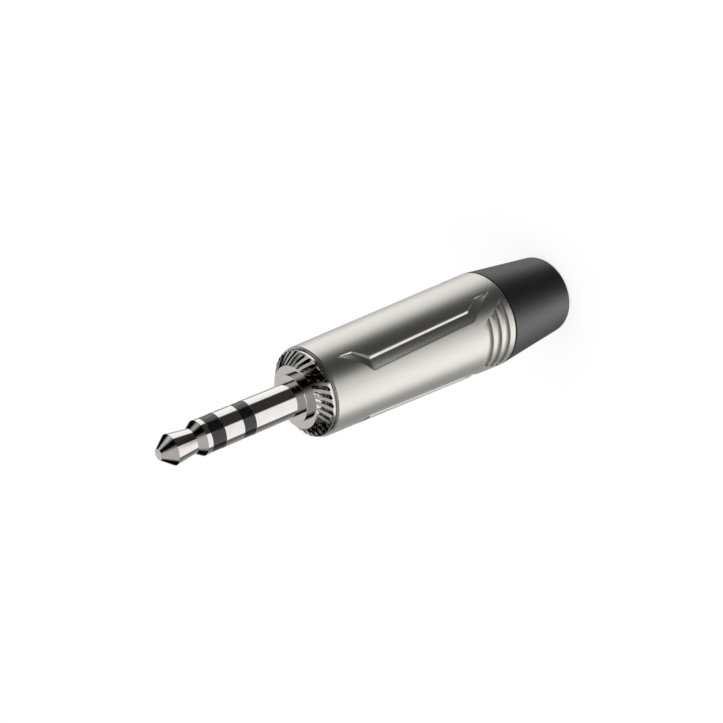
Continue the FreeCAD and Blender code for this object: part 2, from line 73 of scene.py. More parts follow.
TIP_NOSE = 1.26                      # lengths of the tip's front cone, rear cone and collar cone
TIP_BACK = 2.24
COLLAR_CONE = 0.78
TIP_FLAT_RADIUS = 0.55
TIP_EDGE_RADIUS = 1.53
WAIST_RADIUS = 1.23
ROD_RADIUS = 0.50
ROD_RIVET_RADIUS = 0.85
ROLL_OUT = 0.30                      # how far a rolled end stands out from its tube
RING_ROLL_RISE = 0.2
SLEEVE_ROLL_RISE = 0.3
TUBE_RADII = (0.80, 1.10, 1.35)      # outsides of the tubes round the rod
SPIGOT_RADIUS = 2.10
TAG_SHEET = 0.40
FLANGE_HEIGHT = 0.60
FLANGE_EDGE = 0.012
FACE_RADIUS = 3.27                   # flat face of the nose
CONE_RISE = 1.00
CONE_RADIUS = 4.38
RIM_DEPTH = 1.00
NOSE_THREAD = 4.00
THREAD_PITCH = 0.75
THREAD_DEPTH = 0.40
SHELL_FRONT = 4.70
SHELL_EDGE = np.array([(0, 0), (0.012, 0.001), (0.03, 0.007), (0.13, 0.045), (0.15, 0.060)])
                                     # rise and fall of the front bevel, its ends rounded
SHELL_ROUND = SHELL_EDGE[-1, 0]
NECK_RADIUS = 4.50
BOOT_EDGE = 10.21                    # front edge of the boot
BOOT_REAR = 4.50
BOOT_ROUND = 0.70
EDGE = 0.04                          # broken edge of a turned metal piece


# ---- surfaces ----

def rounded(corners, steps=4, hold=0.02):
    """Profile through corners of radius, height and fillet. A fillet f becomes an arc of
    radius f that touches both sides, and a point beside each end of the arc keeps the
    neighbouring flat flat."""
    points = []
    count = len(corners)
    for i, (r, z, fillet) in enumerate(corners):
        here = np.array((r, z), float)
        if fillet <= 0:
            points.append(here[None])
            continue
        back = np.array(corners[i - 1][:2], float) - here
        ahead = np.array(corners[(i + 1) % count][:2], float) - here
        back /= np.linalg.norm(back)
        ahead /= np.linalg.norm(ahead)
        half = 0.5 * math.acos(np.clip(back @ ahead, -1, 1))
        run = fillet / math.tan(half)
        middle = (back + ahead) / np.linalg.norm(back + ahead)
        centre = here + middle * fillet / math.sin(half)
        first = here + back * run - centre
        last = here + ahead * run - centre
        sweep = math.pi - 2 * half
        w = np.linspace(0, 1, steps + 1)[:, None]
        blend = np.sin((1 - w) * sweep) * first + np.sin(w * sweep) * last
        arc = centre + blend / math.sin(sweep)
        points.append((here + back * (run + hold))[None])
        points.append(arc)
        points.append((here + ahead * (run + hold))[None])
    return np.vstack(points)


def make_piece(name, grid, body, node, material, sharp=32.0):
    """Closed mesh from a grid of points: rows follow the profile, columns go round the axis,
    and both close on themselves. Points that fall together on the axis are merged."""
    rows, columns = grid.shape[:2]
    r, c = np.meshgrid(np.arange(rows), np.arange(columns), indexing="ij")
    r_next, c_next = (r + 1) % rows, (c + 1) % columns
    quads = np.stack([r * columns + c, r * columns + c_next,
                      r_next * columns + c_next, r_next * columns + c], axis=-1).reshape(-1, 4)
    mesh = bpy.data.meshes.new(name)
    mesh.vertices.add(rows * columns)
    mesh.vertices.foreach_set("co", (grid * MM).astype(np.float32).ravel())
    mesh.loops.add(quads.size)
    mesh.loops.foreach_set("vertex_index", quads.astype(np.int32).ravel())
    mesh.polygons.add(len(quads))
    mesh.polygons.foreach_set("loop_start", np.arange(0, quads.size, 4, dtype=np.int32))
    mesh.update(calc_edges=True)
    soup = bmesh.new()
    soup.from_mesh(mesh)
    bmesh.ops.remove_doubles(soup, verts=soup.verts, dist=1e-7)
    soup.to_mesh(mesh)
    soup.free()
    mesh.validate()
    mesh.polygons.foreach_set("use_smooth", np.ones(len(mesh.polygons), dtype=bool))
    mesh.set_sharp_from_angle(angle=math.radians(sharp))
    mesh.materials.append(material)
    piece = bpy.data.objects.new(name, mesh)
    bpy.context.scene.collection.objects.link(piece)
    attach(piece, body)
    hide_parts(node)
    return piece


def turned(profile, columns=192):
    """Points at (r cos a, r sin a, z) for each profile point (r, z) and each angle a."""
    angle = np.arange(columns) * TURN / columns
    r, z = profile[:, :1], profile[:, 1:]
    return np.stack([r * np.cos(angle), r * np.sin(angle), z + 0 * angle], axis=-1)


def thread_wave(phase):
    """Depth of a 60 degree thread over one pitch, from 0 on the crest to 1 in the root:
    flat crest, straight flank, flat root, straight flank."""
    t = np.abs(np.mod(phase, 1.0) - 0.5) * 2
    return np.clip((t - 0.22) / 0.62, 0, 1)


def threaded(low, high, radius, columns=192, steps=14):
    """Rows of a right-hand thread between two heights. The radius falls by the thread depth
    times the wave of z / pitch - a / turn, and the wave fades over one pitch at each end."""
    count = int((high - low) / THREAD_PITCH * steps) + 1
    z = np.linspace(low, high, count)[:, None]
    angle = (np.arange(columns) * TURN / columns)[None]
    fade = np.clip((z - low) / THREAD_PITCH, 0, 1) * np.clip((high - z) / THREAD_PITCH, 0, 1)
    fade = fade * fade * (3 - 2 * fade)
    r = radius - THREAD_DEPTH * fade * thread_wave(z / THREAD_PITCH - angle / TURN)
    return np.stack([r * np.cos(angle), r * np.sin(angle), z + 0 * angle], axis=-1)


# ---- finishes ----

def colour(code):
    """Linear colour of an sRGB hex value."""
    parts = [int(code[i:i + 2], 16) / 255 for i in (1, 3, 5)]
    return [p / 12.92 if p <= 0.04045 else ((p + 0.055) / 1.055) ** 2.4 for p in parts] + [1.0]


def add(tree, kind, settings=None, inputs=None):
    """One node with its settings, and its inputs as values or as sockets to link from."""
    made = tree.nodes.new(kind)
    for key, value in (settings or {}).items():
        setattr(made, key, value)
    for key, value in (inputs or {}).items():
        if isinstance(value, bpy.types.NodeSocket):
            tree.links.new(value, made.inputs[key])
        else:
            made.inputs[key].default_value = value
    return made


def ramp(tree, value, stops, smooth="LINEAR"):
    """Colour ramp through (place, colour) stops."""
    made = add(tree, "ShaderNodeValToRGB", None, {"Fac": value})
    made.color_ramp.interpolation = smooth
    spots = made.color_ramp.elements
    spots[0].position, spots[0].color = stops[0]
    spots[1].position, spots[1].color = stops[-1]
    for place, tint in stops[1:-1]:
        spots.new(place).color = tint
    return made.outputs["Color"]


def finish_of(name, metallic, ior=None):
    """New material with its tree, shader and object coordinates in millimetres."""
    made = bpy.data.materials.new(name)
    made.use_nodes = True
    tree = made.node_tree
    shader = tree.nodes["Principled BSDF"]
    shader.inputs["Metallic"].default_value = metallic
    if ior:
        shader.inputs["IOR"].default_value = ior
    place = add(tree, "ShaderNodeTexCoord").outputs["Object"]
    in_mm = add(tree, "ShaderNodeVectorMath", {"operation": "SCALE"}, {0: place, "Scale": 1 / MM})
    return made, tree, shader, in_mm.outputs[0]


def grain(tree, place, size, detail=2.0, stretch=None):
    """Noise with features of a size in millimetres, stretched along the axes if asked."""
    if stretch:
        place = add(tree, "ShaderNodeVectorMath", {"operation": "MULTIPLY"},
                    {0: place, 1: stretch}).outputs[0]
    return add(tree, "ShaderNodeTexNoise", None,
               {"Vector": place, "Scale": 1 / size, "Detail": detail}).outputs["Fac"]


def spread(tree, value, low, high):
    """Noise around its middle, stretched to run from low to high."""
    return add(tree, "ShaderNodeMapRange", None,
               {"Value": value, "From Min": 0.3, "From Max": 0.7, "To Min": low,
                "To Max": high}).outputs["Result"]


def relief(tree, shader, height, depth):
    """Bump of a depth in millimetres."""
    bump = add(tree, "ShaderNodeBump", None, {"Height": height, "Distance": depth * MM,
                                              "Strength": 1.0})
    tree.links.new(bump.outputs["Normal"], shader.inputs["Normal"])


def turning_marks(tree, place, pitch):
    """Fine rings left by a lathe tool, one each pitch along the axis."""
    return add(tree, "ShaderNodeTexWave",
               {"wave_type": "BANDS", "bands_direction": "Z", "wave_profile": "SIN"},
               {"Vector": place, "Scale": TURN / 20 / pitch, "Distortion": 0.6,
                "Detail": 1.0}).outputs["Fac"]


def bright_nickel(name, tint):
    """Bright nickel plate on turned brass: a clear mirror with a slightly warm tone, over
    the faintest tool rings, one each 0.16 mm."""
    made, tree, shader, place = finish_of(name, 1.0)
    cloud = grain(tree, place, 1.8)
    tone = ramp(tree, cloud, [(0.3, colour(tint[0])), (0.7, colour(tint[1]))])
    tree.links.new(tone, shader.inputs["Base Color"])
    rings = turning_marks(tree, place, 0.16)
    tree.links.new(spread(tree, rings, 0.04, 0.06), shader.inputs["Roughness"])
    return made


def satin_nickel():
    """Satin nickel plate on a bead-blasted brass shell: broad soft highlights, and a grain
    of 0.07 mm that just shows in the light zones."""
    made, tree, shader, place = finish_of("satin_nickel", 1.0)
    speck = grain(tree, place, 0.07, 3.0)
    tone = ramp(tree, speck, [(0.35, colour("#DEDBD4")), (0.65, colour("#E6E3DC"))])
    tree.links.new(tone, shader.inputs["Base Color"])
    tree.links.new(spread(tree, speck, 0.37, 0.40), shader.inputs["Roughness"])
    relief(tree, shader, speck, 0.0003)
    return made


def black_acetal():
    """Black acetal, turned and lightly polished: deep black under a clear gloss."""
    made, tree, shader, place = finish_of("black_acetal", 0.0, 1.56)
    cloud = grain(tree, place, 0.5)
    tone = ramp(tree, cloud, [(0.3, colour("#0B0B0B")), (0.7, colour("#121212"))])
    tree.links.new(tone, shader.inputs["Base Color"])
    tree.links.new(spread(tree, grain(tree, place, 0.3), 0.10, 0.18), shader.inputs["Roughness"])
    relief(tree, shader, turning_marks(tree, place, 0.10), 0.0001)
    return made


def black_nylon():
    """Black glass-filled nylon, moulded in a spark-eroded tool: satin black, with a fine
    pebble of about 0.12 mm."""
    made, tree, shader, place = finish_of("black_nylon", 0.0, 1.60)
    pebble = grain(tree, place, 0.12, 2.0)
    cloud = grain(tree, place, 3.0)
    tone = ramp(tree, cloud, [(0.3, colour("#161616")), (0.7, colour("#1B1B1B"))])
    tree.links.new(tone, shader.inputs["Base Color"])
    tree.links.new(spread(tree, pebble, 0.35, 0.42), shader.inputs["Roughness"])
    shader.inputs["Specular IOR Level"].default_value = 0.86
    relief(tree, shader, pebble, 0.001)
    return made


def washer_paper():
    """Paper phenolic board, punched: dull brown with fibres that lie in the sheet."""
    made, tree, shader, place = finish_of("paper_phenolic", 0.0, 1.55)
    fibre = grain(tree, place, 0.15, 4.0, (0.3, 1.0, 3.0))
    tone = ramp(tree, fibre, [(0.3, colour("#6B4427")), (0.7, colour("#8A5C36"))])
    tree.links.new(tone, shader.inputs["Base Color"])
    tree.links.new(spread(tree, fibre, 0.45, 0.60), shader.inputs["Roughness"])
    relief(tree, shader, fibre, 0.003)
    return made


def tinned_brass():
    """Tin plate on punched brass sheet: pale grey metal, softly clouded."""
    made, tree, shader, place = finish_of("tinned_brass", 1.0)
    cloud = grain(tree, place, 0.9, 3.0)
    tone = ramp(tree, cloud, [(0.3, colour("#BDBBB4")), (0.7, colour("#D6D4CE"))])
    tree.links.new(tone, shader.inputs["Base Color"])
    tree.links.new(spread(tree, cloud, 0.22, 0.38), shader.inputs["Roughness"])
    relief(tree, shader, grain(tree, place, 0.1), 0.001)
    return made


def moulded_liner():
    """Natural polypropylene tube, extruded: milky and half matt, with faint draw lines."""
    made, tree, shader, place = finish_of("natural_polypropylene", 0.0, 1.49)
    lines = grain(tree, place, 0.2, 2.0, (1.0, 1.0, 0.05))
    tone = ramp(tree, lines, [(0.3, colour("#D8D6CF")), (0.7, colour("#E4E2DC"))])
    tree.links.new(tone, shader.inputs["Base Color"])
    tree.links.new(spread(tree, lines, 0.30, 0.42), shader.inputs["Roughness"])
    relief(tree, shader, lines, 0.001)
    return made


def moulded_chuck():
    """White acetal collet, moulded: pale and slightly waxy, with a fine tool texture."""
    made, tree, shader, place = finish_of("white_acetal", 0.0, 1.48)
    texture = grain(tree, place, 0.12, 2.0)
    cloud = grain(tree, place, 1.5)
    tone = ramp(tree, cloud, [(0.3, colour("#DAD8D2")), (0.7, colour("#E6E4DF"))])
    tree.links.new(tone, shader.inputs["Base Color"])
    tree.links.new(spread(tree, texture, 0.32, 0.42), shader.inputs["Roughness"])
    relief(tree, shader, texture, 0.002)
    return made


contact_plate = bright_nickel("bright_nickel_contact", ("#D6D1CD", "#DDD9D6"))
nose_plate = bright_nickel("bright_nickel_nose", ("#D3CFCB", "#DAD7D4"))
satin = satin_nickel()
acetal = black_acetal()
nylon = black_nylon()
paper = washer_paper()
tinned = tinned_brass()
plain_parts = {
    "ring_washer": paper, "tip_washer": paper, "ground_tag": tinned, "ring_tag": tinned,
    "tip_tag": tinned, "liner": moulded_liner(), "chuck": moulded_chuck()}
for node, finish in plain_parts.items():
    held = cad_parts[node]
    held.data.materials.clear()
    held.data.materials.append(finish)


# ---- pin ----

def make_pin():
    """The five pieces of the pin, each a profile turned about the axis."""
    tip_edge = tip_top - TIP_NOSE
    waist = tip_edge - TIP_BACK
    collar = waist - COLLAR_CONE
    tip = rounded([
        (0, tip_top, 0), (TIP_FLAT_RADIUS, tip_top, 0.06), (TIP_EDGE_RADIUS, tip_edge, 0.03),
        (WAIST_RADIUS, waist, 0.05), (pin_radius, collar, EDGE), (pin_radius, tip_gap_top, EDGE),
        (ROD_RADIUS, tip_gap_top, 0), (ROD_RADIUS, tip_low + TAG_SHEET, 0),
        (ROD_RIVET_RADIUS, tip_low + TAG_SHEET, 0), (ROD_RIVET_RADIUS, tip_low, 0.1),
        (0, tip_low, 0)])[::-1]
    make_piece("tip", turned(tip), "insert", "tip_contact", contact_plate)
    tip_gap = rounded([
        (ROD_RADIUS, tip_gap_top, 0), (band_radius, tip_gap_top, EDGE),
        (band_radius, ring_top, EDGE), (TUBE_RADII[0], ring_top, 0),
        (TUBE_RADII[0], tip_gap_low, 0), (ROD_RADIUS, tip_gap_low, 0)])[::-1]
    make_piece("tip_band", turned(tip_gap), "insert", "tip_insulator", acetal)
    roll = TUBE_RADII[1] + ROLL_OUT
    ring = rounded([
        (TUBE_RADII[0], ring_top, 0), (pin_radius, ring_top, EDGE),
        (pin_radius, ring_gap_top, EDGE),
        (TUBE_RADII[1], ring_gap_top, 0), (TUBE_RADII[1], ring_low + RING_ROLL_RISE, 0),
        (roll, ring_low + RING_ROLL_RISE, 0.05), (roll, ring_low, 0.1),
        (TUBE_RADII[0], ring_low, 0)])[::-1]
    make_piece("ring", turned(ring), "insert", "ring_contact", contact_plate)
    ring_gap = rounded([
        (TUBE_RADII[1], ring_gap_top, 0), (band_radius, ring_gap_top, EDGE),
        (band_radius, sleeve_top, EDGE), (TUBE_RADII[2], sleeve_top, 0),
        (TUBE_RADII[2], ring_gap_low, 0), (TUBE_RADII[1], ring_gap_low, 0)])[::-1]
    make_piece("ring_band", turned(ring_gap), "insert", "ring_insulator", acetal)
    shoulder = face_level + FLANGE_HEIGHT
    roll = SPIGOT_RADIUS + ROLL_OUT
    sleeve = rounded([
        (TUBE_RADII[2], sleeve_top, 0), (pin_radius, sleeve_top, EDGE),
        (pin_radius, shoulder, FLANGE_EDGE), (flange_radius, shoulder, FLANGE_EDGE),
        (flange_radius, face_level, 0), (SPIGOT_RADIUS, face_level, 0),
        (SPIGOT_RADIUS, sleeve_low + SLEEVE_ROLL_RISE, 0),
        (roll, sleeve_low + SLEEVE_ROLL_RISE, 0.05), (roll, sleeve_low, 0.12),
        (TUBE_RADII[2], sleeve_low, 0)])[::-1]
    make_piece("sleeve", turned(sleeve), "insert", "sleeve_contact",
               contact_plate)


# ---- nose ----

FLUTES = 32
FLUTE_SHARE = 0.56                   # part of the pitch that a flute takes
FLUTE_LEAN = 11.0                    # degrees that a flute turns from its foot to the face
FLUTE_START = -4.9                   # degrees from +X to the first flute, at its foot
FLUTE_WALL = 3.26                    # radius of the wall at the inner end of a flute, at its top
FLUTE_LEDGE = 3.34                   # and at its foot
FLUTE_DEPTH = 1.14                   # depth of a flute's bottom below the face


def make_nose():
    """Nose body. Across one pitch the columns gather at the walls of a flute. Along a column,
    a point of the land lies on the cone and a point of the floor on an L: down a steep
    wall, then out along a flat bottom through the rim. The angle grows with the height by the
    lean, and near its outer end a flute narrows by a half ellipse."""
    foot = face_level - CONE_RISE
    bottom = face_level - FLUTE_DEPTH
    s = np.unique(np.concatenate([
        np.linspace(0, 0.86, 14),
        [0.015, 0.04, 0.46, 0.54, 0.88, 0.90, 0.93, 0.95, 0.97, 0.985, 1.0]]))[:, None]
    land_r = np.interp(s, [0, 0.86, 0.88, 0.93, 1.0],
                       [FACE_RADIUS, CONE_RADIUS, CONE_RADIUS + 0.02, rim_radius, rim_radius])
    land_z = np.interp(s, [0, 0.86, 0.88, 0.93, 1.0],
                       [face_level, foot, foot - 0.01, foot - 0.05, bottom])
    floor_r = np.interp(s, [0, 0.04, 0.46, 0.54, 1.0],
                        [FACE_RADIUS - 0.01, FLUTE_WALL, FLUTE_LEDGE, FLUTE_LEDGE + 0.05,
                         rim_radius])
    floor_z = np.interp(s, [0, 0.04, 0.46, 0.54, 1.0],
                        [face_level, face_level - 0.04, bottom + 0.06, bottom, bottom])
    taper = np.sqrt(np.clip(1 - (np.clip(s - 0.84, 0, None) / 0.16) ** 2, 0.03, 1))
    half = TURN / FLUTES / 2 * FLUTE_SHARE * taper
    rest = TURN / FLUTES - 2 * half
    floor_places = np.array([-1.0, -0.97, -0.93, -0.80, 0.0, 0.80, 0.93, 0.97])
    cut = np.array([0.0, 0.55, 0.92, 1.0, 1.0, 1.0, 0.92, 0.55, 0.0, 0.0, 0.0, 0.0, 0.0])
    land_places = np.array([0.0, 0.06, 0.35, 0.65, 0.94])
    across = np.concatenate([half * floor_places, half + rest * land_places], axis=1)
    r = np.tile(land_r + (floor_r - land_r) * cut, (1, FLUTES))
    z = np.tile(land_z + (floor_z - land_z) * cut, (1, FLUTES))
    columns = FLUTES * len(cut)
    starts = np.repeat(np.arange(FLUTES), len(cut)) * TURN / FLUTES + np.radians(FLUTE_START)
    angle = np.tile(across, (1, FLUTES)) + starts + np.radians(FLUTE_LEAN) * (z - foot) / CONE_RISE
    cone = np.stack([r * np.cos(angle), r * np.sin(angle), z], axis=-1)[::-1]
    first, last = angle[0], angle[-1]

    def rows(points, angles):
        """Rows of the profile points (r, z) at the given column angles."""
        r, z = points[:, :1], points[:, 1:]
        return np.stack([r * np.cos(angles), r * np.sin(angles), z + 0 * angles], axis=-1)

    ledge = shell_top - RIM_DEPTH
    rim = rows(rounded([
        (NOSE_THREAD, ledge, 0), (rim_radius, ledge, EDGE), (rim_radius, shell_top, 0),
        (rim_radius, bottom - 0.02, 0)]), last)
    face = rows(np.array([(FACE_RADIUS - 0.10, face_level), (SPIGOT_RADIUS, face_level)]), first)
    face_edge = face[:1]
    thread = threaded(nose_low, ledge, NOSE_THREAD, columns)
    # The thread is made with columns at even angles, and its radii are read off again at the
    # uneven angles of the rim's columns.
    even = np.arange(columns) * TURN / columns
    z = thread[:, 0, 2][:, None]
    r_thread = np.hypot(thread[..., 0], thread[..., 1])
    shifted = np.stack([np.interp(np.mod(last, TURN), np.append(even, TURN), np.append(row, row[0]))
                        for row in r_thread])
    thread = np.stack([shifted * np.cos(last), shifted * np.sin(last), z + 0 * shifted], axis=-1)
    w = np.linspace(0, 1, 7)[:, None]
    bore_angle = first + (last - first) * w
    bore_z = face_level + (nose_low - face_level) * w
    bore = np.stack([SPIGOT_RADIUS * np.cos(bore_angle), SPIGOT_RADIUS * np.sin(bore_angle),
                     bore_z + 0 * bore_angle], axis=-1)
    grid = np.concatenate([thread, rim, cone, face_edge, bore])
    make_piece("nose", grid, "insert", "nose_body", nose_plate, sharp=35.0)


# ---- shell ----

# Heights of the channel's corners, with the distance of its edge from the middle plane.
CHANNEL_INNER = ((11.96, 2.46), (14.08, 2.51), (15.88, 3.38), (29.69, 3.42), (31.20, 2.41),
                 (32.99, 2.37))
CHANNEL_OUTER = ((11.96, 2.46), (15.79, 4.24), (29.83, 4.26), (32.99, 2.37))
CHANNEL_DEPTH = 0.20                 # at the panel's wall
CHANNEL_STEP = 0.12                  # at the outer wall
GROOVES = ((11.20, 48.0), (12.47, 40.5), (13.74, 33.0))   # rear edge and half angle of each
GROOVE_DEPTH = 0.28                  # depth at a groove's rear wall, from where the floor rises
GROOVE_RUN = 0.85                    # height over which the floor rises to the surface
GROOVE_LEAN = 6.0                    # degrees that a groove shortens by over 1 mm of height
RIM_BORE = 4.50                      # radii of the shell's bores, from the front to the rear
FRONT_BORE = 4.03
MIDDLE_BORE = 4.10
REAR_BORE = 4.53
FRONT_BORE_END = 29.6                # heights where the threaded bores end
REAR_BORE_END = 16.0


def make_shell():
    """Shell. A quarter of the outside is a grid of heights by columns. The columns keep to
    the channel's two edges, so that each runs along the side, the channel or the panel; x
    is given, the radius is the taper's less a depth, and y follows from both. The other
    three quarters are mirror images, and the bore closes the solid."""
    marks = sorted({height for height, _ in CHANNEL_INNER + CHANNEL_OUTER})
    heights = [shell_low + h for h in (0.0, 0.03, 0.08, 0.16)]
    for low, _ in GROOVES:
        heights += [low + h for h in (-0.05, 0.0, 0.015, 0.05, 0.12, 0.22, 0.34, 0.46, 0.58, 0.70,
                                      0.80, 0.90)]
    heights += list(np.arange(shell_low + 0.3, 16.4, 0.17)) + list(np.arange(17.0, 29.3, 0.8))
    heights += list(np.arange(29.4, 33.3, 0.2))
    heights += list(np.arange(33.5, shell_top - SHELL_ROUND, 0.4))
    heights += marks + [shell_top - SHELL_ROUND - 0.04]
    heights = np.unique(np.round(heights, 3))
    heights = heights[(heights >= shell_low) & (heights < shell_top - SHELL_ROUND)]
    heights = heights[np.append(True, np.diff(heights) > 0.012)]
    taper = (shell_radius - SHELL_FRONT) / (shell_top - SHELL_ROUND - shell_low)
    z = np.append(heights, shell_top - SHELL_ROUND + SHELL_EDGE[:, 0])
    wall = np.append(shell_radius - taper * (heights - shell_low), SHELL_FRONT - SHELL_EDGE[:, 1])
    wall[0] -= 0.02
    z, wall = z[:, None], wall[:, None]

    inner = np.interp(z, *zip(*CHANNEL_INNER))
    outer = np.interp(z, *zip(*CHANNEL_OUTER))
    width = np.maximum(outer - inner, 0)
    live = np.clip(width / np.where(z > 31.2, 1.0, 0.12), 0, 1)
    outer = np.maximum(outer, inner + 0.06)

    # Side: from the middle of a grip side to the channel, with the ends of the grooves close.
    side = np.unique(np.concatenate([np.linspace(0, 1, 22), np.linspace(0.52, 0.80, 44)]))[None]
    limit = np.arccos(np.clip(outer / wall, -1, 1))
    side_angle = side * limit
    depth = 0 * side_angle
    for low, half in GROOVES:
        u = z - low
        cut = np.where(u > 0.01, np.clip(1 - u / GROOVE_RUN, 0, 1) ** 1.3, 0)
        reach = np.clip((half - GROOVE_LEAN * u - np.degrees(side_angle)) / 0.7, 0, 1)
        depth = depth + GROOVE_DEPTH * cut * reach
    r = wall - depth
    quarter = [np.stack([r * np.cos(side_angle), r * np.sin(side_angle)], axis=-1)]

    # Channel: a small bevel, the outer wall, and a floor that falls a little towards the
    # panel. In front of the straight part the outer wall fades and the floor starts at the
    # surface.
    s = np.array([0.0, 0.0, 0.04, 0.1, 0.25, 0.45, 0.65, 0.85, 0.96, 1.0])[None]
    bevel = np.where(s > 0, 0.035, np.array([[0.0, 0.03] + [0.0] * 8])) * live
    x = outer - bevel + (inner + 0.006 * live - outer + 0.035 * live) * s
    step = CHANNEL_STEP * np.clip((30.3 - z) / 0.8, 0, 1)
    depth = live * (step + (CHANNEL_DEPTH - step) * s) * (s > 0)
    depth[:, 1] = 0.012 * live[:, 0] * (step[:, 0] > 0)
    depth[:, 0] = 0
    r = wall - depth
    quarter.append(np.stack([x, np.sqrt(r ** 2 - x ** 2)], axis=-1))

    # Panel: a small bevel on the wall's top, then on to the panel's middle.
    x = inner - np.array([0.0, 0.02])[None] * live - (1 - live) * np.array([0.02, 0.04])[None]
    r = wall - live * np.array([0.015, 0.0])[None]
    quarter.append(np.stack([x, np.sqrt(r ** 2 - x ** 2)], axis=-1))
    start = np.arccos(np.clip(x[:, 1:] / wall, -1, 1))
    s = np.linspace(0, 1, 18)[None, 1:]
    angle = start + (np.pi / 2 - start) * s
    quarter.append(np.stack([wall * np.cos(angle), wall * np.sin(angle)], axis=-1))
    quarter = np.concatenate(quarter, axis=1)

    around = np.concatenate([
        quarter, quarter[:, -2::-1] * (-1, 1), quarter[:, 1:] * (-1, -1),
        quarter[:, -2:0:-1] * (1, -1)], axis=1)
    outside = np.concatenate([around, np.broadcast_to(z[..., None], around.shape[:2] + (1,))],
                             axis=-1)

    bore = rounded([
        (RIM_BORE, shell_top, 0), (RIM_BORE, shell_top - RIM_DEPTH, 0),
        (FRONT_BORE, shell_top - RIM_DEPTH, 0), (FRONT_BORE, FRONT_BORE_END, 0),
        (MIDDLE_BORE, FRONT_BORE_END, 0), (MIDDLE_BORE, REAR_BORE_END, 0),
        (REAR_BORE, REAR_BORE_END, 0), (REAR_BORE, shell_low, 0)])
    front = np.unwrap(np.arctan2(around[-1, :, 1], around[-1, :, 0]))
    rear = np.unwrap(np.arctan2(around[0, :, 1], around[0, :, 0]))
    share = ((shell_top - bore[:, 1]) / (shell_top - shell_low))[:, None]
    angle = front + (rear - front) * share
    inside = np.stack([bore[:, :1] * np.cos(angle), bore[:, :1] * np.sin(angle),
                       bore[:, 1:] + 0 * angle], axis=-1)
    make_piece("shell_sleeve", np.concatenate([outside, inside]), "shell", "shell",
               satin, sharp=28.0)


# ---- boot ----

INLET_RADIUS = 3.0
INLET_TOP = 2.1
SEAM_RADIUS = 5.08                   # floor of the open seam in front of the boot
HOLLOW_REAR = 3.17                   # radii of the hollow for the chuck, and its heights
HOLLOW_FRONT = 3.55
HOLLOW_FOOT = 2.4
HOLLOW_WIDE = 8.0


def make_boot():
    """Boot: tapered grip turned about the axis, its neck a right-hand thread."""
    columns = 192
    grip = rounded([
        (INLET_RADIUS, INLET_TOP, 0), (INLET_RADIUS, boot_low, 0.15),
        (BOOT_REAR - BOOT_ROUND, boot_low, 0)])[:-1]
    arc = np.radians(np.linspace(-90, 0, 10))
    heel = np.stack([BOOT_REAR - BOOT_ROUND + BOOT_ROUND * np.cos(arc),
                     BOOT_ROUND + BOOT_ROUND * np.sin(arc)], axis=-1)
    edge = rounded([
        (BOOT_REAR, BOOT_ROUND, 0), (boot_radius, BOOT_EDGE, 0.06), (SEAM_RADIUS, BOOT_EDGE, 0),
        (SEAM_RADIUS, shell_low, 0), (NECK_RADIUS, shell_low, 0)])[1:]
    side = np.stack([np.linspace(BOOT_REAR, boot_radius, 9)[1:-1],
                     np.linspace(BOOT_ROUND, BOOT_EDGE, 9)[1:-1]], axis=-1)
    hollow = rounded([
        (NECK_RADIUS, neck_top, 0), (HOLLOW_FRONT, neck_top, 0.1), (HOLLOW_FRONT, HOLLOW_WIDE, 0),
        (HOLLOW_REAR, HOLLOW_FOOT, 0), (HOLLOW_REAR, INLET_TOP, 0)])[1:]
    grid = np.concatenate([
        turned(np.concatenate([grip, heel, side, edge]), columns),
        threaded(shell_low + 0.1, neck_top - 0.1, NECK_RADIUS, columns),
        turned(np.concatenate([[(NECK_RADIUS - 0.1, neck_top)], hollow]), columns)])
    make_piece("boot_grip", grid, "boot", "boot", nylon)


make_pin()
make_nose()
make_shell()
make_boot()


# ---- studio ----

FLOOR_HALF = 1500.0
FLOOR_DROP = 0.02                    # floor below the boot's rear face
FLOOR_GLOW = 1.12                    # own light of the sheet where it is seen directly
FLOOR_GLOW_SHARE = 0.70              # the rest is lit paper, which takes the shadow
TENT_TOP = 1.60                      # strength that a ramp's value of 1 stands for
PLAIN_LIGHT = 0.85                   # strength of the tent for all but mirror images
PLUG_MIDDLE = (0, 0, 26)
FRAME_PIXELS = 723
LENS = 61.74
SENSOR = 36.0


